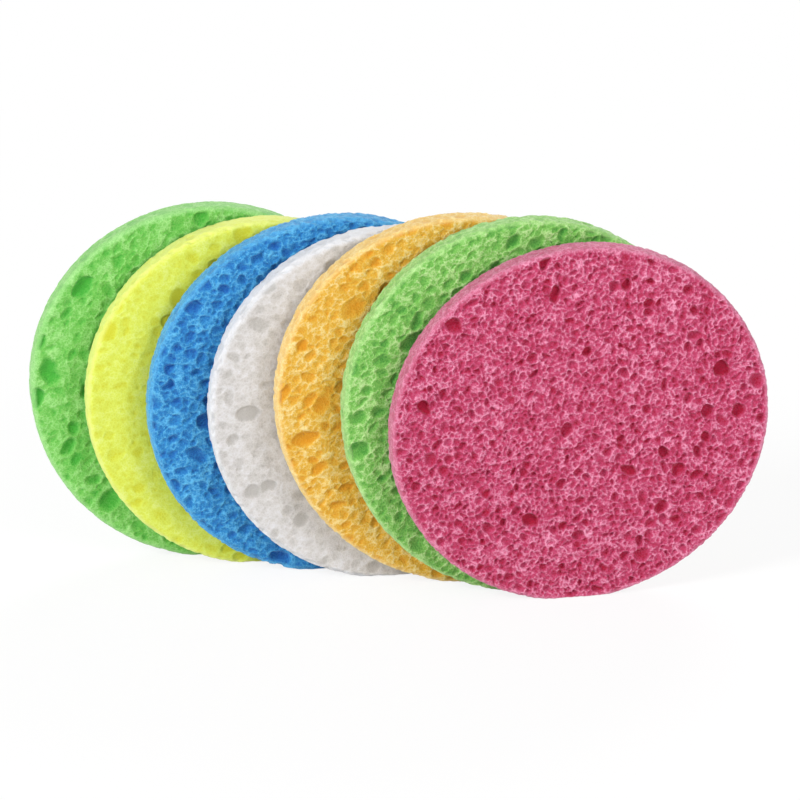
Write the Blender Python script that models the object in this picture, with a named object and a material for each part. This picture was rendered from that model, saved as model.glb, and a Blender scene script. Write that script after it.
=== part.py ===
"""A stepped row of seven cellulose facial sponges, standing on edge face against face.

Each sponge is one die-cut disc of cellulose foam, a little oval because it swelled and dried
unevenly, with a pressed rim and open pores. Metres, +Z up, the viewer stands at -Y, and the
origin is on the ground under the middle of the row's box.
"""

import math
import random
from collections import namedtuple

import bmesh
import bpy
from mathutils import Matrix, Vector

# The disc that the die cuts
DIAMETER = 0.080
THICKNESS = 0.0065
RIM_ROUND = 0.0011
FOOT_DEPTH = 0.0005  # how much the sponge's own weight flattens it where it stands
RIM_POINTS = 44
RIM_SEGMENTS = 2
RIM_EDGE_ANGLE = math.radians(60)  # an edge sharper than this is pressed round
SMOOTH_ANGLE = math.radians(30)

# The row
STEP_ACROSS = 0.0120
FACE_GAP = 0.0003

# The pores that the knife opened, as shallow bowls in the two faces and the rim
FACE_PORE_DIAMETER = 0.0054
FACE_PORE_COUNT = 22
RIM_PORE_DIAMETER = 0.0026
RIM_PORE_DEPTH = 0.0010
RIM_PORE_COUNT = 8
RIM_PORE_OFF_SHARES = (-0.12, 0.12)  # of the thickness, to either side of the middle
RIM_PORE_PLACE_SHARES = (0.2, 0.8)  # of its own stretch of the rim
FOOT_CLEAR_SHARE = 3  # of the foot's half angle, kept free of rim pores
PORE_WALL = 0.0007  # the least foam left between two pores
PORE_FREE_RIM = 0.0030  # the band beside the rim that pressing closed
PORE_SIZE_SHARES = (0.50, 1.45)
PORE_OVAL_SHARES = (0.0, 0.30)
PORE_DEPTH_SHARES = (0.16, 0.34)  # of the thickness
PORE_SIZE_POWER = 1.6  # above 1, small pores outnumber large ones
PORE_LIFT_SHARE = 0.30  # of its depth, how far a bowl's centre stands proud of the surface
PORE_SIDES = 7
PORE_RINGS = 4
PLACES_TRIED = 9

# The foam
FOAM_ROUGHNESS = 0.95

# From the rear of the row to the front. The long and the short diameter are shares of
# DIAMETER, the long one is turned that many degrees from level, and the step is the share
# of STEP_ACROSS between this sponge and the one before it.
Sponge = namedtuple(
    "Sponge", "name colour long_share short_share turn_deg step_share pore_share"
)
SPONGES = (
    Sponge("rear_green_sponge", (0.16, 0.60, 0.10), 1.017, 0.987, -49, 0.0, 1.00),
    Sponge("yellow_sponge", (0.82, 0.92, 0.06), 0.982, 0.978, -50, 0.87, 0.90),
    Sponge("blue_sponge", (0.05, 0.29, 0.72), 1.024, 0.994, 30, 1.16, 1.05),
    Sponge("white_sponge", (0.83, 0.81, 0.82), 0.999, 0.982, -21, 0.96, 1.05),
    Sponge("orange_sponge", (0.96, 0.54, 0.13), 1.080, 1.010, -34, 1.31, 1.00),
    Sponge("front_green_sponge", (0.29, 0.70, 0.20), 1.041, 1.007, -73, 0.94, 1.10),
    Sponge("pink_sponge", (0.76, 0.09, 0.26), 1.029, 0.981, 10, 0.80, 0.75),
)


def clear_scene():
    for old in list(bpy.data.objects):
        bpy.data.objects.remove(old, do_unlink=True)


def make_foam(name, colour):
    foam = bpy.data.materials.new(name + "_foam")
    foam.use_nodes = True
    shader = foam.node_tree.nodes["Principled BSDF"]
    shader.inputs["Base Color"].default_value = (*colour, 1.0)
    shader.inputs["Roughness"].default_value = FOAM_ROUGHNESS
    shader.inputs["Metallic"].default_value = 0.0
    return foam


class Oval:
    """The sponge's outline, seen from the front: an ellipse turned in its own plane."""

    def __init__(self, sponge):
        self.long = DIAMETER * sponge.long_share / 2
        self.short = DIAMETER * sponge.short_share / 2
        self.turn = math.radians(sponge.turn_deg)
        self.rise = math.hypot(
            self.long * math.sin(self.turn), self.short * math.cos(self.turn)
        )
        self.lead = math.atan2(
            self.long * math.sin(self.turn), self.short * math.cos(self.turn)
        )
        self.foot_angle = math.acos(1 - FOOT_DEPTH / self.rise)

    def point(self, angle, inset=0.0):
        """x and z at this angle of the ellipse, drawn in by inset"""
        u = (self.long - inset) * math.cos(angle)
        v = (self.short - inset) * math.sin(angle)
        cosine, sine = math.cos(self.turn), math.sin(self.turn)
        return u * cosine - v * sine, u * sine + v * cosine

    def ring(self):
        """Points round the rim from one corner of the flat foot to the other"""
        start = -math.pi / 2 - self.lead + self.foot_angle
        sweep = 2 * (math.pi - self.foot_angle)
        return [
            self.point(start + sweep * i / (RIM_POINTS - 1)) for i in range(RIM_POINTS)
        ]


def make_disc(sponge, oval):
    """The die-cut slab, standing up round its own centre, with its rim edges pressed round"""
    form = bmesh.new()
    front = form.faces.new(
        [form.verts.new((x, -THICKNESS / 2, z)) for x, z in oval.ring()]
    )
    grown = bmesh.ops.extrude_face_region(form, geom=[front])["geom"]
    moved = [item for item in grown if isinstance(item, bmesh.types.BMVert)]
    bmesh.ops.translate(form, verts=moved, vec=(0, THICKNESS, 0))
    bmesh.ops.recalc_face_normals(form, faces=form.faces)
    mesh = bpy.data.meshes.new(sponge.name)
    form.to_mesh(mesh)
    form.free()
    mesh.shade_smooth()
    mesh.set_sharp_from_angle(angle=SMOOTH_ANGLE)
    disc = bpy.data.objects.new(sponge.name, mesh)
    bpy.context.collection.objects.link(disc)
    mesh.materials.append(make_foam(sponge.name, sponge.colour))
    rim = disc.modifiers.new("pressed_rim", "BEVEL")
    rim.width = RIM_ROUND
    rim.segments = RIM_SEGMENTS
    rim.limit_method = "ANGLE"
    rim.angle_limit = RIM_EDGE_ANGLE
    return disc


def between(rng, shares, power=1.0):
    low, high = shares
    return low + (high - low) * rng.random() ** power


def add_bowl(form, place, facing, width, height, depth, spin):
    """One pore as a low ellipsoid whose centre stands a little outside the surface"""
    turn = Vector((0, 0, 1)).rotation_difference(facing).to_matrix().to_4x4()
    centre = Matrix.Translation(place + facing * depth * PORE_LIFT_SHARE)
    reach = depth * (1 + PORE_LIFT_SHARE)
    size = Matrix.Diagonal((width / 2, height / 2, reach, 1))
    bmesh.ops.create_uvsphere(
        form,
        u_segments=PORE_SIDES,
        v_segments=PORE_RINGS,
        radius=1,
        matrix=centre @ turn @ Matrix.Rotation(spin, 4, "Z") @ size,
    )


def roomiest(rng, oval, inset, taken):
    """Of a few random places in the oval, the one farthest from the pores so far"""
    best, most = Vector((0, 0, 0)), 0.0
    for _ in range(PLACES_TRIED):
        spread = math.sqrt(rng.random())
        x, z = oval.point(math.tau * rng.random(), inset)
        place = Vector((x * spread, 0, z * spread))
        room = min(((place - other).length - radius for other, radius in taken), default=inset)
        if room > most:
            best, most = place, room
    return best, most


def cut_face_pores(form, rng, sponge, oval, side):
    """Scatters bowls over one face. Side is -1 for the front and +1 for the back."""
    taken = []
    for _ in range(FACE_PORE_COUNT):
        size = FACE_PORE_DIAMETER * sponge.pore_share
        size *= between(rng, PORE_SIZE_SHARES, PORE_SIZE_POWER)
        oval_share = between(rng, PORE_OVAL_SHARES)
        width, height = size * (1 + oval_share), size * (1 - oval_share)
        depth = THICKNESS * between(rng, PORE_DEPTH_SHARES)
        spin = math.pi * rng.random()
        place, room = roomiest(rng, oval, PORE_FREE_RIM + width / 2, taken)
        if room < width / 2 + PORE_WALL:
            continue
        taken.append((place.copy(), width / 2))
        place.y = side * THICKNESS / 2
        add_bowl(form, place, Vector((0, side, 0)), width, height, depth, spin)


def cut_rim_pores(form, rng, oval):
    """A few small bowls round the rim, none of them in the foot"""
    foot = -math.pi / 2 - oval.lead
    clear = FOOT_CLEAR_SHARE * oval.foot_angle
    for i in range(RIM_PORE_COUNT):
        share = (i + between(rng, RIM_PORE_PLACE_SHARES)) / RIM_PORE_COUNT
        angle = foot + clear + (math.tau - 2 * clear) * share
        size = RIM_PORE_DIAMETER * between(rng, PORE_SIZE_SHARES)
        x, z = oval.point(angle)
        place = Vector((x, THICKNESS * between(rng, RIM_PORE_OFF_SHARES), z))
        facing = Vector((x, 0, z)).normalized()
        add_bowl(form, place, facing, size, size, RIM_PORE_DEPTH, 0.0)


def cut_pores(disc, sponge, oval, seed):
    rng = random.Random(seed)
    form = bmesh.new()
    cut_face_pores(form, rng, sponge, oval, -1)
    cut_face_pores(form, rng, sponge, oval, 1)
    cut_rim_pores(form, rng, oval)
    mesh = bpy.data.meshes.new(sponge.name + "_pores")
    form.to_mesh(mesh)
    form.free()
    cutter = bpy.data.objects.new(sponge.name + "_pores", mesh)
    bpy.context.collection.objects.link(cutter)
    cutter.hide_render = True
    cutter.display_type = "WIRE"
    cutter.parent = disc
    opened = disc.modifiers.new("opened_pores", "BOOLEAN")
    opened.operation = "DIFFERENCE"
    opened.solver = "EXACT"
    opened.object = cutter


def build_row():
    """Stands the sponges on the ground, each one step across and one thickness nearer"""
    ovals = [Oval(sponge) for sponge in SPONGES]
    across, centres = 0.0, []
    for sponge in SPONGES:
        across += STEP_ACROSS * sponge.step_share
        centres.append(across)
    edges = [
        (centre + min(x for x, _ in oval.ring()), centre + max(x for x, _ in oval.ring()))
        for centre, oval in zip(centres, ovals)
    ]
    middle = (min(low for low, _ in edges) + max(high for _, high in edges)) / 2
    pitch = THICKNESS + FACE_GAP
    rear = pitch * (len(SPONGES) - 1) / 2
    for i, (sponge, oval) in enumerate(zip(SPONGES, ovals)):
        disc = make_disc(sponge, oval)
        cut_pores(disc, sponge, oval, seed=i)
        disc.location = (centres[i] - middle, rear - pitch * i, oval.rise - FOOT_DEPTH)


clear_scene()
build_row()
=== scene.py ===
import math
from collections import namedtuple

import bpy
import numpy as np
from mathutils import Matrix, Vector


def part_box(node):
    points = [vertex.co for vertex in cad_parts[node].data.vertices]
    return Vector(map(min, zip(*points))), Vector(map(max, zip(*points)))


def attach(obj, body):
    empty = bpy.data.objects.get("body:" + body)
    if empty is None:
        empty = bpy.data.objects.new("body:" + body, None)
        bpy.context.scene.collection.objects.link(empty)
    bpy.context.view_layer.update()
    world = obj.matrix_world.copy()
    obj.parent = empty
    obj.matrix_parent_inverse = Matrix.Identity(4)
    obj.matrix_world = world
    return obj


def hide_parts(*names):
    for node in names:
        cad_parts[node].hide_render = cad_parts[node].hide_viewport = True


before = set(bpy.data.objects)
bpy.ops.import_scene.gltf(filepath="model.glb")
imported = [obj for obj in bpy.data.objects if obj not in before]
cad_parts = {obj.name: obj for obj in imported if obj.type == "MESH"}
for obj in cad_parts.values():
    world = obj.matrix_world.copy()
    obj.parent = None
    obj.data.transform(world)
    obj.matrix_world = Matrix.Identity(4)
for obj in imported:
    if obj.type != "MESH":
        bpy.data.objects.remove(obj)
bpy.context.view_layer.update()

# Studio: a pale floor that whitens away from the row, a large soft lamp at the viewer's left,
# a weaker one at the right, a third behind, and even light from all round. The camera looks
# at the row's faces from a little to their left and above.
AZIMUTH = math.radians(-11.4)
ELEVATION = math.radians(18.6)
CAMERA_DISTANCE = 0.700
LENS_MM = 146.7
AIM = Vector((0.0002, -0.0036, 0.0406))
FLOOR_SIDE = 8.0
FLOOR_COLOUR = (0.92, 0.92, 0.92, 1)
WHITENING_NEAR, WHITENING_FAR = 0.86, 1.0  # the share of plain white in the floor's look
WHITE_FROM, WHITE_AT = 0.10, 0.45  # metres from the row's middle, where those shares begin
SKY_LIGHT = 0.38
WHITE = (1, 1, 1, 1)

backward = Vector((
    math.sin(AZIMUTH) * math.cos(ELEVATION),
    -math.cos(AZIMUTH) * math.cos(ELEVATION),
    math.sin(ELEVATION),
))
bpy.ops.object.camera_add(
    location=AIM + backward * CAMERA_DISTANCE, rotation=backward.to_track_quat("Z", "Y").to_euler()
)
camera = bpy.context.object
camera.data.lens = LENS_MM
bpy.context.scene.camera = camera

bpy.ops.mesh.primitive_plane_add(size=FLOOR_SIDE)
floor = bpy.context.object
floor.name = "floor"


def start_nodes(owner):
    """Clears a material's or world's nodes. Gives short ways to add a node and to join two."""
    owner.use_nodes = True
    tree = owner.node_tree
    tree.nodes.clear()

    def add(kind, **inputs):
        node = tree.nodes.new("ShaderNode" + kind)
        for label, value in inputs.items():
            node.inputs[label.replace("_", " ")].default_value = value
        return node

    return add, tree.links.new


def in_view(add, join):
    """1 where the camera looks, straight or by way of gloss or glass, and 0 for the light"""
    ray = add("LightPath")
    seen = ray.outputs["Is Camera Ray"]
    for kind in ("Is Glossy Ray", "Is Transmission Ray"):
        either = add("Math")
        either.operation = "MAXIMUM"
        join(seen, either.inputs[0])
        join(ray.outputs[kind], either.inputs[1])
        seen = either.outputs[0]
    return seen


material = bpy.data.materials.new("pale_floor")
add, join = start_nodes(material)
place = add("TexCoord")
reach = add("VectorMath")
reach.operation = "LENGTH"
whitening = add("MapRange", From_Min=WHITE_FROM, From_Max=WHITE_AT)
whitening.inputs["To Min"].default_value = WHITENING_NEAR
whitening.inputs["To Max"].default_value = WHITENING_FAR
whiteness = add("Math")
whiteness.operation = "MULTIPLY"
matt = add("BsdfDiffuse", Color=FLOOR_COLOUR)
glow = add("Emission", Color=WHITE)
mix = add("MixShader")
join(place.outputs["Object"], reach.inputs[0])
join(reach.outputs["Value"], whitening.inputs["Value"])
join(whitening.outputs["Result"], whiteness.inputs[0])
join(in_view(add, join), whiteness.inputs[1])
join(whiteness.outputs[0], mix.inputs[0])
join(matt.outputs[0], mix.inputs[1])
join(glow.outputs[0], mix.inputs[2])
join(mix.outputs[0], add("OutputMaterial").inputs["Surface"])
floor.data.materials.append(material)

world = bpy.data.worlds.new("studio")
bpy.context.scene.world = world
add, join = start_nodes(world)
sky = add("Background", Color=WHITE)
strength = add("MapRange", To_Min=SKY_LIGHT)
join(in_view(add, join), strength.inputs["Value"])
join(strength.outputs["Result"], sky.inputs["Strength"])
join(sky.outputs[0], add("OutputWorld").inputs["Surface"])


def soft_lamp(name, place, size, watts):
    facing = (Vector(place) - AIM).to_track_quat("Z", "Y").to_euler()
    bpy.ops.object.light_add(type="AREA", location=place, rotation=facing)
    lamp = bpy.context.object
    lamp.name = name
    lamp.data.shape = "DISK"
    lamp.data.size = size
    lamp.data.energy = watts


soft_lamp("key", (-0.95, -0.60, 0.80), 0.45, 14.0)
soft_lamp("fill", (0.55, -0.85, 0.45), 0.50, 4.6)
soft_lamp("rear", (0.55, 0.95, 0.70), 0.60, 7.0)
bpy.context.scene.view_settings.view_transform = "Standard"

# Rear green sponge: a die-cut disc of coarse cellulose foam. The salt that was washed out of
# the set viscose left its open cells, a few of them very large, and the die pressed its rim
# to a smoother skin. It stands on a short flat foot at the rear of the row.
MM = 0.001
THICKNESS = 6.5 * MM
RIM_ROUND = 1.5 * MM
RIM_ROUND_STEPS = 7
RIM_SIDES = 256
RIM_EDGE_ANGLE = math.radians(60)
RIM_ALLOWANCE = 0.25 * MM  # what the open cells take off the rim, given back to the blank
SMALL_FACE = 0.22 * MM
TRIANGLES = 195_000

Disc = namedtuple("Disc", "piece node centre long short turn")


def cut_blank(node, long, short, turn_deg, small_face=SMALL_FACE):
    """The plain oval disc where the CAD node stands, its long way turned that far from level,
    made of small even faces"""
    turn = math.radians(turn_deg)
    low, high = (Vector(corner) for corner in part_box(node))
    centre = (low + high) / 2
    centre.z = high.z - math.hypot(long * math.sin(turn), short * math.cos(turn)) / 2
    bpy.ops.object.select_all(action="DESELECT")
    bpy.ops.mesh.primitive_cylinder_add(vertices=RIM_SIDES, radius=0.5, depth=THICKNESS)
    blank = bpy.context.object
    blank.name = node + "_foam"
    blank.scale = (long + 2 * RIM_ALLOWANCE, short + 2 * RIM_ALLOWANCE, 1)
    bpy.ops.object.transform_apply(location=False, rotation=False)
    blank.rotation_euler.z = turn
    bpy.ops.object.transform_apply(location=False, scale=False)
    blank.rotation_euler.x = math.pi / 2
    blank.location = centre
    bpy.ops.object.transform_apply(scale=False)
    pressed = blank.modifiers.new("pressed_rim", "BEVEL")
    pressed.width = RIM_ROUND
    pressed.segments = RIM_ROUND_STEPS
    pressed.limit_method = "ANGLE"
    pressed.angle_limit = RIM_EDGE_ANGLE
    bpy.ops.object.modifier_apply(modifier=pressed.name)
    bpy.ops.object.mode_set(mode="EDIT")
    bpy.ops.mesh.select_all(action="SELECT")
    bpy.ops.mesh.bisect(plane_co=(0, 0, 0), plane_no=(0, 0, 1), use_fill=True, clear_inner=True)
    bpy.ops.object.mode_set(mode="OBJECT")
    even = blank.modifiers.new("small_faces", "REMESH")
    even.mode = "VOXEL"
    even.voxel_size = small_face
    bpy.ops.object.modifier_apply(modifier=even.name)
    return Disc(blank, node, centre, long, short, turn)


PIXEL = 0.115 * MM
SHEET = 92 * MM  # a little more than a sponge is across, so no cell of a face shows twice
SMALL_SHEET = 46 * MM
RIM_SHEET = 3 * THICKNESS
RIM_TURNS = 3  # how many whole times the sheet goes round the rim, so that its ends meet
WALL = 0.13 * MM
FAR = 1000 * MM
CELL_REACH = 1.1 * MM  # how far outside its own circle a cell can still claim room
ROUND_FROM, ROUND_AT = 0.6 * MM, 1.2 * MM  # small cells fill their corners, large ones stay round
CORNER_SMALL, CORNER_LARGE = 0.26 * MM, 0.03 * MM

# Radius in mm from and to, how many in a sheet (-1 for all that fit), and how far drawn out
COARSE_CELLS = (
    (2.0, 2.6, 9, 1.8),
    (1.4, 2.0, 44, 1.9),
    (1.0, 1.4, 150, 1.9),
    (0.75, 1.0, 520, 1.8),
    (0.56, 0.75, 1000, 1.6),
    (0.42, 0.56, -1, 1.5),
)
FINEST_CELLS = ((0.36, 0.50, 400, 1.4), (0.26, 0.36, -1, 1.3))


def pack_cells(cells, seed, length, height):
    """Packs cells on a sheet that repeats, large ones first. Gives each pixel the way to its
    cell's wall, the cell's number, and all the cells' sizes."""
    rng = np.random.default_rng(seed)
    rows, cols = int(round(height / PIXEL)), int(round(length / PIXEL))
    near = np.full((rows, cols), FAR, np.float32)
    second = near.copy()
    owner = np.zeros((rows, cols), np.int32)
    sizes = []
    for least, most, count, longest in cells:
        least, most = least * MM, most * MM
        end = len(sizes) + count if count > 0 else -1
        for k in rng.permutation(np.flatnonzero(near > least + WALL / 2)):
            if len(sizes) == end:
                break
            row, col = divmod(int(k), cols)
            room = near[row, col] - WALL / 2
            if room < least:
                continue
            size = min(rng.uniform(least, most), room)
            stretch = math.sqrt(1 + (longest - 1) * rng.random() ** 2)
            turn = rng.uniform(0, math.pi)
            half = int(math.ceil((size + CELL_REACH) * stretch / PIXEL))
            steps = np.arange(-half, half + 1)
            x, y = np.meshgrid(steps * PIXEL, steps * PIXEL)
            along = (x * math.cos(turn) + y * math.sin(turn)) / stretch
            aside = (y * math.cos(turn) - x * math.sin(turn)) * stretch
            away = np.hypot(along, aside).astype(np.float32) - np.float32(size)
            window = np.ix_((row + steps) % rows, (col + steps) % cols)
            old = near[window]
            closer = away < old
            second[window] = np.where(closer, old, np.minimum(second[window], away))
            near[window] = np.where(closer, away, old)
            owner[window] = np.where(closer, len(sizes), owner[window])
            sizes.append(size)
    sizes = np.array(sizes, np.float32)
    corner = np.interp(sizes, (ROUND_FROM, ROUND_AT), (CORNER_SMALL, CORNER_LARGE))
    corner = corner.astype(np.float32)[owner]
    edge = np.clip(np.minimum((second - near - WALL) / 2, corner - near), 0, None)
    return edge, owner, sizes


def soften(sheet, times):
    for _ in range(times):
        for way in (0, 1):
            sheet = (np.roll(sheet, 1, way) + 2 * sheet + np.roll(sheet, -1, way)) / 4
    return sheet


LEAST_OPEN, MOST_OPEN = -0.68, 0.36  # the knife's place above a bubble's centre, in its radii
OPEN_POWER = 1.4  # above 1, shallow cuts outnumber deep ones
DEEPEST = 2.3 * MM
SINK, SINK_SOFTNESS = 0.18 * MM, 6
SMALL_CELL, LARGE_CELL = 0.5 * MM, 1.4 * MM
WALL_SEEN = 0.13 * MM  # how far into its cell a wall's painted pale highlight reaches
TONE_SOFTNESS = 3


def cut_open(packed, rng, small_share=1.0, softness=1):
    """Cuts a packed sheet, shifted and mirrored at random, with each bubble at its own height.
    Gives the depth under the knife, a tone for each cell, and where the walls are. The small
    share is how much of their depth the smallest cells keep."""
    edge, owner, sizes = packed
    down, across = rng.choice((-1, 1), 2)
    shift = tuple(rng.integers(0, edge.shape))
    edge = np.roll(edge[::down, ::across], shift, (0, 1))
    owner = np.roll(owner[::down, ::across], shift, (0, 1))
    opened = LEAST_OPEN + (MOST_OPEN - LEAST_OPEN) * rng.random(len(sizes)) ** OPEN_POWER
    bubble = sizes / np.sqrt(1 - opened * opened)
    keep = np.interp(sizes, (SMALL_CELL, LARGE_CELL), (small_share, 1.0))
    tone = rng.normal(0, 1, len(sizes))
    sunk = rng.uniform(0, SINK, len(sizes))
    opened, bubble, keep, tone, sunk, mouth = (
        values.astype(np.float32)[owner] for values in (opened, bubble, keep, tone, sunk, sizes)
    )
    inward = np.clip(mouth - edge, 0, None)
    depth = opened * bubble + np.sqrt(np.clip(bubble * bubble - inward * inward, 0, None))
    depth = np.where(edge > 0, depth * keep, 0) + soften(sunk, SINK_SOFTNESS)
    wall = np.exp(-((edge / WALL_SEEN) ** 2))
    depth = soften(DEEPEST * np.tanh(depth / DEEPEST), softness)
    return depth, soften(tone, TONE_SOFTNESS), soften(wall, 1)


def look_up(sheet, x, y):
    """Reads a sheet that repeats, at places between its pixels"""
    rows, cols = sheet.shape
    col, row = np.floor(x / PIXEL).astype(int), np.floor(y / PIXEL).astype(int)
    right, up = x / PIXEL - col, y / PIXEL - row
    left, next_col, low, next_row = col % cols, (col + 1) % cols, row % rows, (row + 1) % rows
    below = sheet[low, left] * (1 - right) + sheet[low, next_col] * right
    above = sheet[next_row, left] * (1 - right) + sheet[next_row, next_col] * right
    return below * (1 - up) + above * up


WAVES = 7
WAVE_SPREAD = (0.7, 1.5)  # shortest and longest, as shares of the length asked for
WAVE_TOP = 1.5 * math.sqrt(WAVES)  # about as high as so many waves add up to


def waves(x, y, rng, length):
    """A smooth uneven swell from about -1 to 1, about this long from crest to crest"""
    total = np.zeros(len(x))
    for _ in range(WAVES):
        way = rng.uniform(0, math.tau)
        rate = math.tau / (length * rng.uniform(*WAVE_SPREAD))
        total += np.sin(rate * (x * math.cos(way) + y * math.sin(way)) + rng.uniform(0, math.tau))
    return total / WAVE_TOP


def ease(value, low, high):
    share = np.clip((value - low) / (high - low), 0, 1)
    return share * share * (3 - 2 * share)


def read_vectors(items, name):
    values = np.empty(3 * len(items), np.float32)
    items.foreach_get(name, values)
    return values.reshape(-1, 3).astype(float)


FACE_FACING = (0.1, 0.7)  # how squarely it faces front or rear, from all rim to all face
EDGE_RELIEF = 0.4  # of the relief, kept where a face meets the rim
# The rim's share in the painted shade of the cells, and how many times its cell sheet is softened
RIM_SHADE, RIM_SOFTNESS = 0.6, 2
WARP, WARP_LENGTH = 0.30 * MM, 4 * MM
SWELL_LEVEL = 0.072 * MM  # of the slow unevenness that real foam has under its cells
LONG_SWELL, LONG_SWELL_LENGTH = 0.045 * MM, 11 * MM
SHORT_SWELL, SHORT_SWELL_LENGTH = 0.027 * MM, 2.5 * MM
BITE_LEVEL, BITE_LENGTH = 0.4, 2.6 * MM  # above 0, more of the edge is torn than not
CORNER_FACING, CORNER_REACH = 0.6, (0.15, 0.40)  # the round between rim and face
FOOT_HEIGHT, FOOT_RELIEF = 1.0 * MM, 0.25
PRESSED_DEPTH = 0.7 * MM  # the deepest that a cell stays open in the pressed rim
OPEN_FACING = (0.6, 1.0)  # from the rim's round edge to the flat of a face
SHADE_HALF_DEPTH = 1.0 * MM  # the depth at which the painted shade is half way to the deepest
# How much the finest cells add to the painted shade in the cells, to the random tone, and to the
# walls' painted pale highlight
FINEST_SHADE, FINEST_TONE, FINEST_WALLS = 0.8, 0.5, 0.4
SKIN_FACING, SKIN_WIDTH = (0.3, 0.95), 1.2 * MM
CHART_FACING = 0.7

COARSE_FACE = pack_cells(COARSE_CELLS, 1, SHEET, SHEET)
COARSE_RIM = pack_cells(COARSE_CELLS[2:], 2, SHEET, RIM_SHEET)
FINEST = pack_cells(FINEST_CELLS, 3, SMALL_SHEET, SMALL_SHEET)

# Relief and finest are the shares of their depth that large and finest cells are cut to, walls
# how much paler the walls are painted, as painted highlight, bite how far the edge is torn, and
# skin band how wide it is pressed.
# The foam set while it moved, so its cells are drawn out: so many times longer than wide, and
# leaning so many degrees from level.
Foam = namedtuple(
    "Foam",
    "face rim relief rim_relief finest small_share softness walls bite skin_band drawn lean",
)


def open_pores(disc, foam, seed, triangles=TRIANGLES):
    """Sinks the blank's surface into its opened cells, less in the pressed rim and the foot"""
    rng = np.random.default_rng(seed)
    mesh = disc.piece.data
    place, normal = read_vectors(mesh.vertices, "co"), read_vectors(mesh.vertices, "normal")
    x, y, z = (place - np.array(disc.centre)).T
    along = x * math.cos(disc.turn) + z * math.sin(disc.turn)
    aside = z * math.cos(disc.turn) - x * math.sin(disc.turn)
    inset = (1 - np.hypot(2 * along / disc.long, 2 * aside / disc.short)) * disc.short / 2
    around = np.arctan2(z, x) / math.tau * RIM_TURNS * SHEET
    facing = np.abs(normal[:, 1])
    drift = [WARP * waves(x, z, rng, WARP_LENGTH) for _ in range(2)]
    lean = math.radians(foam.lean)
    warped_x, warped_z = x + drift[0], z + drift[1]
    long_way = (warped_x * math.cos(lean) + warped_z * math.sin(lean)) / foam.drawn
    short_way = warped_z * math.cos(lean) - warped_x * math.sin(lean)
    finest = cut_open(FINEST, rng)
    depth, shade_depth, tone, walls = (np.zeros(len(x)) for _ in range(4))

    def sink(where, weight, relief, sheet, u, v, finest_u, finest_v):
        large, small = look_up(sheet[0], u, v), look_up(finest[0], finest_u, finest_v)
        depth[where] += weight * (relief * large + foam.finest * small)
        # The deeper the cells, the darker they are painted, as painted shade
        shade_depth[where] += weight * (large + FINEST_SHADE * small)
        small_tone = FINEST_TONE * look_up(finest[1], finest_u, finest_v)
        small_walls = FINEST_WALLS * look_up(finest[2], finest_u, finest_v)
        tone[where] += weight * (look_up(sheet[1], u, v) + small_tone)
        walls[where] += weight * (look_up(sheet[2], u, v) + small_walls)

    for side in (-1, 1):
        face = cut_open(foam.face, rng, foam.small_share, foam.softness)
        on = normal[:, 1] * side > 0
        weight = EDGE_RELIEF + (1 - EDGE_RELIEF) * ease(inset[on], 0, foam.skin_band)
        weight *= ease(facing[on], *FACE_FACING)
        u, v = long_way[on], short_way[on]
        sink(on, weight, foam.relief, face, u, v, side * v, u)
    rim = cut_open(foam.rim, rng, foam.small_share, RIM_SOFTNESS)
    weight = (1 - ease(facing, *FACE_FACING)) * RIM_SHADE
    on = slice(None)
    relief = foam.rim_relief / RIM_SHADE
    sink(on, weight, relief, rim, around, y + drift[0], around, y + drift[1])

    depth *= FOOT_RELIEF + (1 - FOOT_RELIEF) * ease(place[:, 2], 0, FOOT_HEIGHT)
    limit = PRESSED_DEPTH + (DEEPEST - PRESSED_DEPTH) * ease(facing, *OPEN_FACING)
    depth = limit * np.tanh(depth / limit)
    swell = SWELL_LEVEL + LONG_SWELL * waves(x, y + z, rng, LONG_SWELL_LENGTH)
    swell += SHORT_SWELL * waves(x, y + z, rng, SHORT_SWELL_LENGTH)
    corner = 1 - ease(np.abs(facing - CORNER_FACING), *CORNER_REACH)
    bite = np.clip(BITE_LEVEL + waves(x + y, z, rng, BITE_LENGTH), 0, None)
    place -= normal * (depth + np.clip(swell, 0, None) + foam.bite * corner * bite)[:, None]
    mesh.vertices.foreach_set("co", place.astype(np.float32).ravel())
    # pore is painted shade, darker the deeper the cell and paler on the walls as painted
    # highlight; tone is random per cell, skin marks the pressed rim
    layers = {
        "pore": shade_depth / (shade_depth + SHADE_HALF_DEPTH) - foam.walls * walls,
        "tone": tone,
        "skin": 1 - ease(facing, *SKIN_FACING) * ease(inset, 0, SKIN_WIDTH),
        "chart": np.sign(normal[:, 1]) * (facing > CHART_FACING),
    }
    for name, values in layers.items():
        layer = mesh.attributes.new(name, "FLOAT", "POINT")
        layer.data.foreach_set("value", values.astype(np.float32))
    mesh.update()
    thin = disc.piece.modifiers.new("fewer_faces", "DECIMATE")
    thin.ratio = min(1.0, triangles / (2 * len(mesh.polygons)))
    thin.use_collapse_triangulate = True
    bpy.context.view_layer.objects.active = disc.piece
    bpy.ops.object.modifier_apply(modifier=thin.name)
    mesh.shade_smooth()


CHART_SCALE = 0.49 / (90 * MM)  # of the map, for each metre of foam
FACE_CHART_AT = (0.5, 0.75)
FACE_CHART_STEP = 0.25
RIM_CHART_START = 0.02
RIM_CHART_HEIGHT = 0.12


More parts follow.
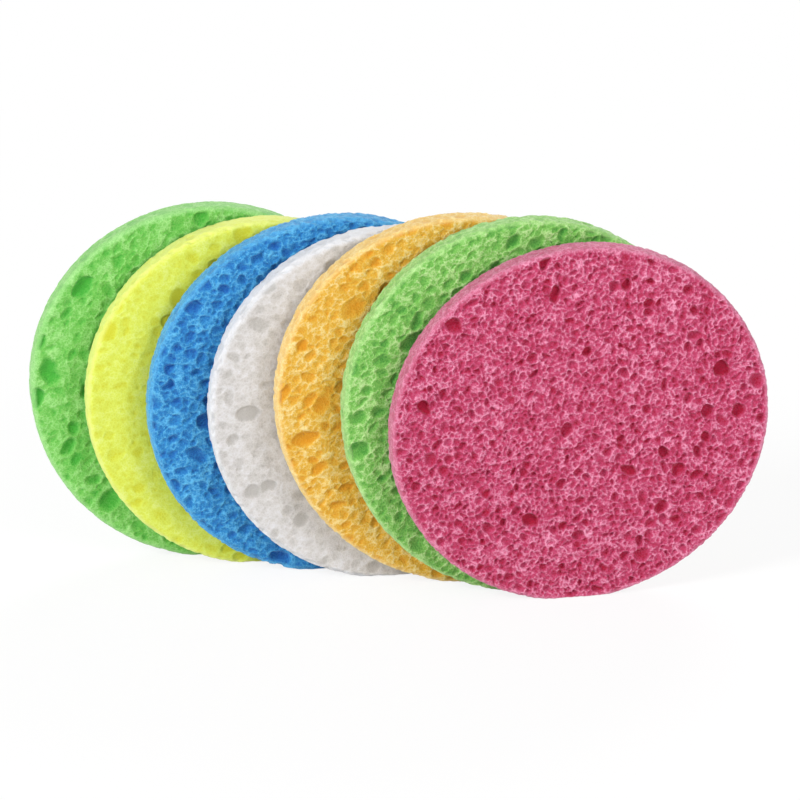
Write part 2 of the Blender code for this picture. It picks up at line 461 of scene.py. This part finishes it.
def lay_flat(disc):
    """The OFBake UV map: the two faces side by side above, and the rim
    in two rows below"""
    mesh = disc.piece.data
    corners = np.empty(len(mesh.loops), np.int32)
    mesh.loops.foreach_get("vertex_index", corners)
    charts = np.empty(len(mesh.vertices), np.float32)
    mesh.attributes["chart"].data.foreach_get("value", charts)
    place = (read_vectors(mesh.vertices, "co") - np.array(disc.centre))[corners]
    x, y, z = place.reshape(-1, 3, 3).transpose(2, 0, 1)
    side = np.round(charts[corners].reshape(-1, 3).mean(1))[:, None]
    middle = np.arctan2(z.mean(1), x.mean(1))[:, None]
    row = (middle > 0) * 1.0
    angle = (np.arctan2(z, x) - middle + math.pi) % math.tau - math.pi + middle
    angle += math.pi * (1 - row)
    rim_u = RIM_CHART_START + angle * disc.short / 2 * CHART_SCALE
    rim_v = RIM_CHART_HEIGHT * (1 + row) + y * CHART_SCALE
    face_u = FACE_CHART_AT[0] + side * FACE_CHART_STEP + x * CHART_SCALE
    face_v = FACE_CHART_AT[1] + z * CHART_SCALE
    u, v = np.where(side == 0, rim_u, face_u), np.where(side == 0, rim_v, face_v)
    layer = mesh.uv_layers.new(name="OFBake", do_init=False)
    layer.uv.foreach_set("vector", np.stack([u, v], -1).astype(np.float32).ravel())


FOAM_ROUGHNESS = 0.9
FOAM_SHINE = 0.25
FOAM_GLOW, FOAM_GLOW_REACH = 0.3, 0.8 * MM
FUZZ = 0.15
NET_SCALE, NET_WALL, NET_SHADE = 1600, 0.22, 0.16  # scales are cells in a metre; the net paints the fine cells' middles darker as painted shade
# The long strands: how many in a metre, how wide, how much paler they are painted as painted
# highlight, and how high they stand in the bump
WEB_SCALE, WEB_WALL, WEB_HIGHLIGHT, WEB_HEIGHT = 560, 0.18, 0.3, 0.8
WEB_DRAWN = 1.6
BEND_SCALE, BEND = 260, 0.6 * MM
FIBRE_SCALE, FIBRE_DETAIL, FIBRE_STAIN = 2600, 3, 0.35
MOTTLE = 0.07
# Where the ramp reaches the floor and deep colours, the painted shade down in the cells
FLOOR_LEVEL, DEEP_LEVEL = 0.30, 0.70
SKIN_SHARE = 0.35
GRIT_HEIGHT = 0.16 * MM
SHARE, FIRST_COLOUR, SECOND_COLOUR, MIXED_COLOUR = 0, 6, 7, 2  # a colour mix's own sockets

# Skin is the pressed rim's colour and crest the dye's own; floor and deep are the dye darkened as
# painted shade in the cells
DyeAndShade = namedtuple("DyeAndShade", "skin crest floor deep web grit")


def dye_and_shade_foam(disc, dye_and_shade, lean):
    """Foam dyed right through, with painted light: paler on its thin walls and long strands as
    painted highlight, darker down in the cells as painted shade.
    Web is how strongly the long strands show, painted pale as highlight and raised in the bump,
    and grit how rough the finest cells are."""
    material = bpy.data.materials.new(disc.node + "_foam")
    add, join = start_nodes(material)

    def times_plus(source, share, base):
        node = add("Math")
        node.operation = "MULTIPLY_ADD"
        node.inputs[1].default_value = share
        join(source, node.inputs[0])
        join(base, node.inputs[2])
        return node.outputs[0]

    def attribute(name):
        node = add("Attribute")
        node.attribute_name = name
        return node.outputs["Fac"]

    def cells_at(place, scale):
        node = add("TexVoronoi", Scale=scale)
        node.feature = "DISTANCE_TO_EDGE"
        join(place, node.inputs["Vector"])
        return node.outputs["Distance"]

    place = add("TexCoord").outputs["Object"]
    net = add("MapRange", From_Max=NET_WALL)
    join(cells_at(place, NET_SCALE), net.inputs["Value"])
    fibre = add("TexNoise", Scale=FIBRE_SCALE, Detail=FIBRE_DETAIL)
    join(place, fibre.inputs["Vector"])
    bend = add("TexNoise", Scale=BEND_SCALE)
    join(place, bend.inputs["Vector"])
    bent = add("VectorMath")
    bent.operation = "MULTIPLY_ADD"
    bent.inputs[1].default_value = (2 * BEND,) * 3
    join(bend.outputs["Color"], bent.inputs[0])
    join(place, bent.inputs[2])
    drawn = add("Mapping", Rotation=(0, -math.radians(lean), 0), Scale=(WEB_DRAWN, 1, 1))
    drawn.vector_type = "TEXTURE"
    join(bent.outputs["Vector"], drawn.inputs["Vector"])
    width = add("Math")
    width.operation = "MULTIPLY"
    width.inputs[1].default_value = WEB_WALL
    join(bend.outputs["Fac"], width.inputs[0])
    strands = add("MapRange", To_Min=1.0, To_Max=0.0)
    join(width.outputs[0], strands.inputs["From Max"])
    join(cells_at(drawn.outputs["Vector"], WEB_SCALE), strands.inputs["Value"])

    # Painted shade and highlight: the fine net's cell middles and the deep cells darker, the
    # strands paler; the random tone and fibre grain are the foam's own
    level = times_plus(net.outputs["Result"], NET_SHADE, attribute("pore"))
    level = times_plus(attribute("tone"), MOTTLE, level)
    level = times_plus(strands.outputs["Result"], -WEB_HIGHLIGHT * dye_and_shade.web, level)
    level = times_plus(fibre.outputs["Fac"], -FIBRE_STAIN, level)
    lifted = add("Math")
    lifted.inputs[1].default_value = FIBRE_STAIN / 2
    join(level, lifted.inputs[0])
    # The ramp runs from the crest colour to the floor and deep colours, painted shade
    ramp = add("ValToRGB")
    ramp.color_ramp.elements[0].color = (*dye_and_shade.crest, 1)
    ramp.color_ramp.elements[1].color = (*dye_and_shade.deep, 1)
    ramp.color_ramp.elements[1].position = DEEP_LEVEL
    ramp.color_ramp.elements.new(FLOOR_LEVEL).color = (*dye_and_shade.floor, 1)
    join(lifted.outputs[0], ramp.inputs["Fac"])
    pressed = add("Math")
    pressed.operation = "MULTIPLY"
    pressed.inputs[1].default_value = SKIN_SHARE
    join(attribute("skin"), pressed.inputs[0])
    mix = add("Mix")
    mix.data_type = "RGBA"
    mix.inputs[SECOND_COLOUR].default_value = (*dye_and_shade.skin, 1)
    join(pressed.outputs[0], mix.inputs[SHARE])
    join(ramp.outputs["Color"], mix.inputs[FIRST_COLOUR])

    height = times_plus(strands.outputs["Result"], -WEB_HEIGHT * dye_and_shade.web, net.outputs["Result"])
    bump = add("Bump", Strength=dye_and_shade.grit, Distance=GRIT_HEIGHT)
    bump.invert = True
    join(height, bump.inputs["Height"])
    shader = add(
        "BsdfPrincipled",
        Roughness=FOAM_ROUGHNESS,
        Specular_IOR_Level=FOAM_SHINE,
        Subsurface_Weight=FOAM_GLOW,
        Subsurface_Radius=(1, 1, 1),
        Subsurface_Scale=FOAM_GLOW_REACH,
        Sheen_Weight=FUZZ,
    )
    join(bump.outputs["Normal"], shader.inputs["Normal"])
    join(mix.outputs[MIXED_COLOUR], shader.inputs["Base Color"])
    join(shader.outputs[0], add("OutputMaterial").inputs["Surface"])
    disc.piece.data.materials.clear()
    disc.piece.data.materials.append(material)


rear_green = cut_blank("rear_green_sponge", 81.4 * MM, 79.0 * MM, -49)
rear_green_cells = Foam(
    face=COARSE_FACE,
    rim=COARSE_RIM,
    relief=0.8,
    rim_relief=0.12,
    finest=0.5,
    small_share=0.4,
    softness=3,
    walls=0.05,
    bite=0.08 * MM,
    skin_band=1.6 * MM,
    drawn=1.35,
    lean=50,
)
rear_green_dye_and_shade = DyeAndShade(
    skin=(0.38, 0.66, 0.29),
    crest=(0.35, 0.68, 0.24),
    floor=(0.17, 0.50, 0.095),
    deep=(0.06, 0.38, 0.04),
    web=0.3,
    grit=0.5,
)
open_pores(rear_green, rear_green_cells, seed=1)
lay_flat(rear_green)
dye_and_shade_foam(rear_green, rear_green_dye_and_shade, rear_green_cells.lean)
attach(rear_green.piece, "rear_green_sponge")
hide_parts("rear_green_sponge")

# Yellow sponge: a disc of the same coarse foam, dyed yellow right through. Its cells are
# shallow and soft at the edge, and the few deep open ones are painted olive as shade. Like every
# sponge here, it stands loose on its own foot, close against the one behind it.
yellow = cut_blank("yellow_sponge", 78.6 * MM, 78.2 * MM, -50)
yellow_cells = Foam(
    face=COARSE_FACE,
    rim=COARSE_RIM,
    relief=0.22,
    rim_relief=0.3,
    finest=0.2,
    small_share=0.4,
    softness=3,
    walls=0.04,
    bite=0.25 * MM,
    skin_band=0.8 * MM,
    drawn=1.2,
    lean=25,
)
yellow_dye_and_shade = DyeAndShade(
    skin=(0.74, 0.81, 0.29),
    crest=(0.68, 0.75, 0.205),
    floor=(0.62, 0.69, 0.09),
    deep=(0.56, 0.56, 0.03),
    web=0.1,
    grit=0.3,
)
open_pores(yellow, yellow_cells, seed=2)
lay_flat(yellow)
dye_and_shade_foam(yellow, yellow_dye_and_shade, yellow_cells.lean)
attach(yellow.piece, "yellow_sponge")
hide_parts("yellow_sponge")

# Blue sponge: a disc of coarse foam dyed blue, with the deepest cells of the six coarse ones
# and a rim that the die tore a little, so its outline is uneven.
blue = cut_blank("blue_sponge", 81.9 * MM, 79.5 * MM, 30)
blue_cells = Foam(
    face=COARSE_FACE,
    rim=COARSE_RIM,
    relief=1.0,
    rim_relief=0.45,
    finest=0.8,
    small_share=0.75,
    softness=2,
    walls=0.09,
    bite=0.6 * MM,
    skin_band=0.8 * MM,
    drawn=1.25,
    lean=15,
)
blue_dye_and_shade = DyeAndShade(
    skin=(0.13, 0.46, 0.75),
    crest=(0.11, 0.44, 0.73),
    floor=(0.027, 0.23, 0.53),
    deep=(0.008, 0.10, 0.38),
    web=0.4,
    grit=0.6,
)
open_pores(blue, blue_cells, seed=3)
lay_flat(blue)
dye_and_shade_foam(blue, blue_dye_and_shade, blue_cells.lean)
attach(blue.piece, "blue_sponge")
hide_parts("blue_sponge")

# White sponge: a disc of undyed coarse foam, soft and fluffy, with shallow cells painted grey as
# shade. The die tore its rim a little too, and its thin walls let some light through.
white = cut_blank("white_sponge", 79.9 * MM, 78.6 * MM, -21)
white_cells = Foam(
    face=COARSE_FACE,
    rim=COARSE_RIM,
    relief=0.22,
    rim_relief=0.4,
    finest=0.22,
    small_share=0.5,
    softness=3,
    walls=0.05,
    bite=0.6 * MM,
    skin_band=0.8 * MM,
    drawn=1.2,
    lean=20,
)
white_dye_and_shade = DyeAndShade(
    skin=(0.74, 0.77, 0.82),
    crest=(0.665, 0.665, 0.69),
    floor=(0.58, 0.565, 0.56),
    deep=(0.43, 0.415, 0.40),
    web=0.15,
    grit=0.3,
)
open_pores(white, white_cells, seed=4)
lay_flat(white)
dye_and_shade_foam(white, white_dye_and_shade, white_cells.lean)
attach(white.piece, "white_sponge")
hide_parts("white_sponge")

# Orange sponge: the largest disc, cut from coarse foam dyed a light orange. Its thin walls
# and strands are painted pale as highlight, over cells painted a deeper gold as shade.
orange = cut_blank("orange_sponge", 86.4 * MM, 80.8 * MM, -34)
orange_cells = Foam(
    face=COARSE_FACE,
    rim=COARSE_RIM,
    relief=0.5,
    rim_relief=0.5,
    finest=0.5,
    small_share=0.75,
    softness=2,
    walls=0.09,
    bite=0.25 * MM,
    skin_band=0.8 * MM,
    drawn=1.35,
    lean=35,
)
orange_dye_and_shade = DyeAndShade(
    skin=(0.86, 0.70, 0.38),
    crest=(0.80, 0.63, 0.28),
    floor=(0.69, 0.40, 0.048),
    deep=(0.62, 0.26, 0.01),
    web=0.4,
    grit=0.5,
)
open_pores(orange, orange_cells, seed=5)
lay_flat(orange)
dye_and_shade_foam(orange, orange_dye_and_shade, orange_cells.lean)
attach(orange.piece, "orange_sponge")
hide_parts("orange_sponge")

# Front green sponge: a disc of coarse foam dyed a lighter green than the one at the rear,
# with strands painted pale as highlight over saturated green cells, darker with depth as painted
# shade.
front_green = cut_blank("front_green_sponge", 83.3 * MM, 80.6 * MM, -73)
front_green_cells = Foam(
    face=COARSE_FACE,
    rim=COARSE_RIM,
    relief=0.7,
    rim_relief=0.5,
    finest=0.6,
    small_share=0.75,
    softness=2,
    walls=0.09,
    bite=0.3 * MM,
    skin_band=0.8 * MM,
    drawn=1.4,
    lean=38,
)
front_green_dye_and_shade = DyeAndShade(
    skin=(0.44, 0.68, 0.28),
    crest=(0.46, 0.71, 0.29),
    floor=(0.18, 0.47, 0.085),
    deep=(0.06, 0.28, 0.04),
    web=0.4,
    grit=0.6,
)
open_pores(front_green, front_green_cells, seed=6)
lay_flat(front_green)
dye_and_shade_foam(front_green, front_green_dye_and_shade, front_green_cells.lean)
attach(front_green.piece, "front_green_sponge")
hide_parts("front_green_sponge")

# Pink sponge: the one in front, of a finer foam than the others. Small deep cells crowd
# together between thin walls, with a few larger ones painted dark as shade, inside a smooth
# pressed rim.
FINE_CELLS = (
    (1.5, 1.9, 10, 1.3),
    (1.05, 1.5, 60, 1.9),
    (0.75, 1.05, 300, 1.9),
    (0.55, 0.75, 1300, 1.7),
    (0.40, 0.55, -1, 1.5),
)
FINE_FACE = pack_cells(FINE_CELLS, 4, SHEET, SHEET)
FINE_RIM = pack_cells(FINE_CELLS[2:], 5, SHEET, RIM_SHEET)
FINE_SMALL_FACE = 0.18 * MM
FINE_TRIANGLES = 330_000
pink = cut_blank("pink_sponge", 82.3 * MM, 78.5 * MM, 10, FINE_SMALL_FACE)
pink_cells = Foam(
    face=FINE_FACE,
    rim=FINE_RIM,
    relief=1.15,
    rim_relief=0.4,
    finest=1.0,
    small_share=0.95,
    softness=1,
    walls=0.08,
    bite=0.05 * MM,
    skin_band=1.6 * MM,
    drawn=1.0,
    lean=35,
)
pink_dye_and_shade = DyeAndShade(
    skin=(0.66, 0.27, 0.39),
    crest=(0.79, 0.31, 0.46),
    floor=(0.50, 0.055, 0.145),
    deep=(0.36, 0.004, 0.035),
    web=0.15,
    grit=0.65,
)
open_pores(pink, pink_cells, seed=7, triangles=FINE_TRIANGLES)
lay_flat(pink)
dye_and_shade_foam(pink, pink_dye_and_shade, pink_cells.lean)
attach(pink.piece, "pink_sponge")
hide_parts("pink_sponge")
